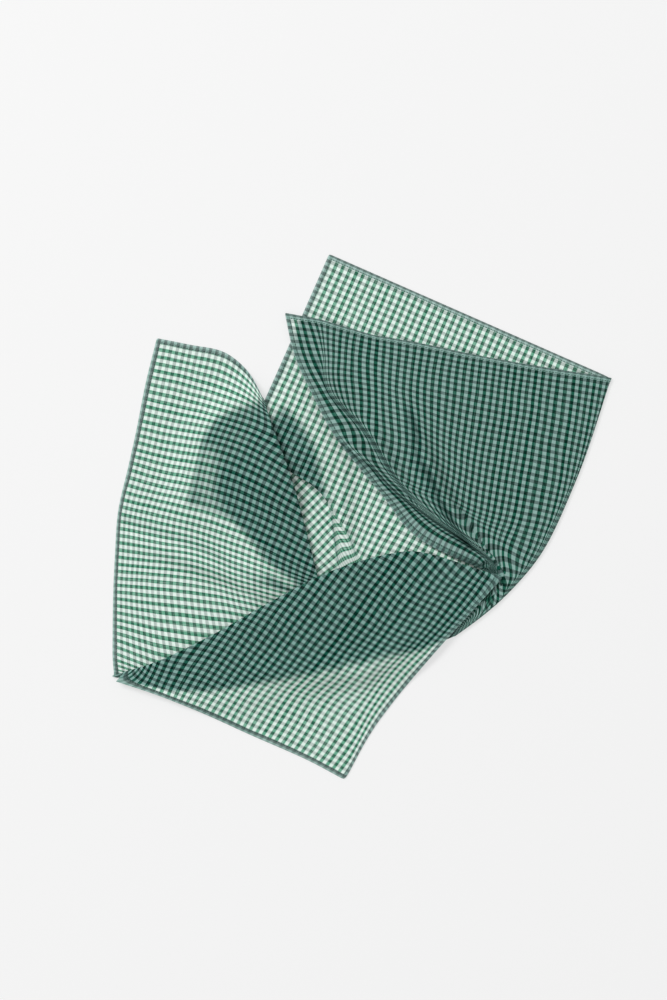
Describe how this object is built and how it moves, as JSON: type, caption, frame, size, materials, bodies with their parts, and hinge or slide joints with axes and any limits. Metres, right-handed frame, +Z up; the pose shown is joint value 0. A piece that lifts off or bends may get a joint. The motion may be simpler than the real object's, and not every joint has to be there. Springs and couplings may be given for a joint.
{
  "type": "bandana",
  "caption": "Square cotton gingham bandana with narrow hems, lying folded flat on a surface with its corners turned over.",
  "frame": {"origin": "centre of the folded cloth's outline, on the surface that it lies on", "axes": "+Z up from the surface, +X to the right and +Y away from the viewer, as seen from straight above with the long narrow fold at the bottom left"},
  "size_m": [0.4364, 0.4596, 0.0147],
  "materials": {
    "gingham_voile": "thin plain-woven cotton voile, green and white gingham check, matt"
  },
  "bodies": {
    "root": {"bandana": "gingham_voile"}
  },
  "joints": []
}
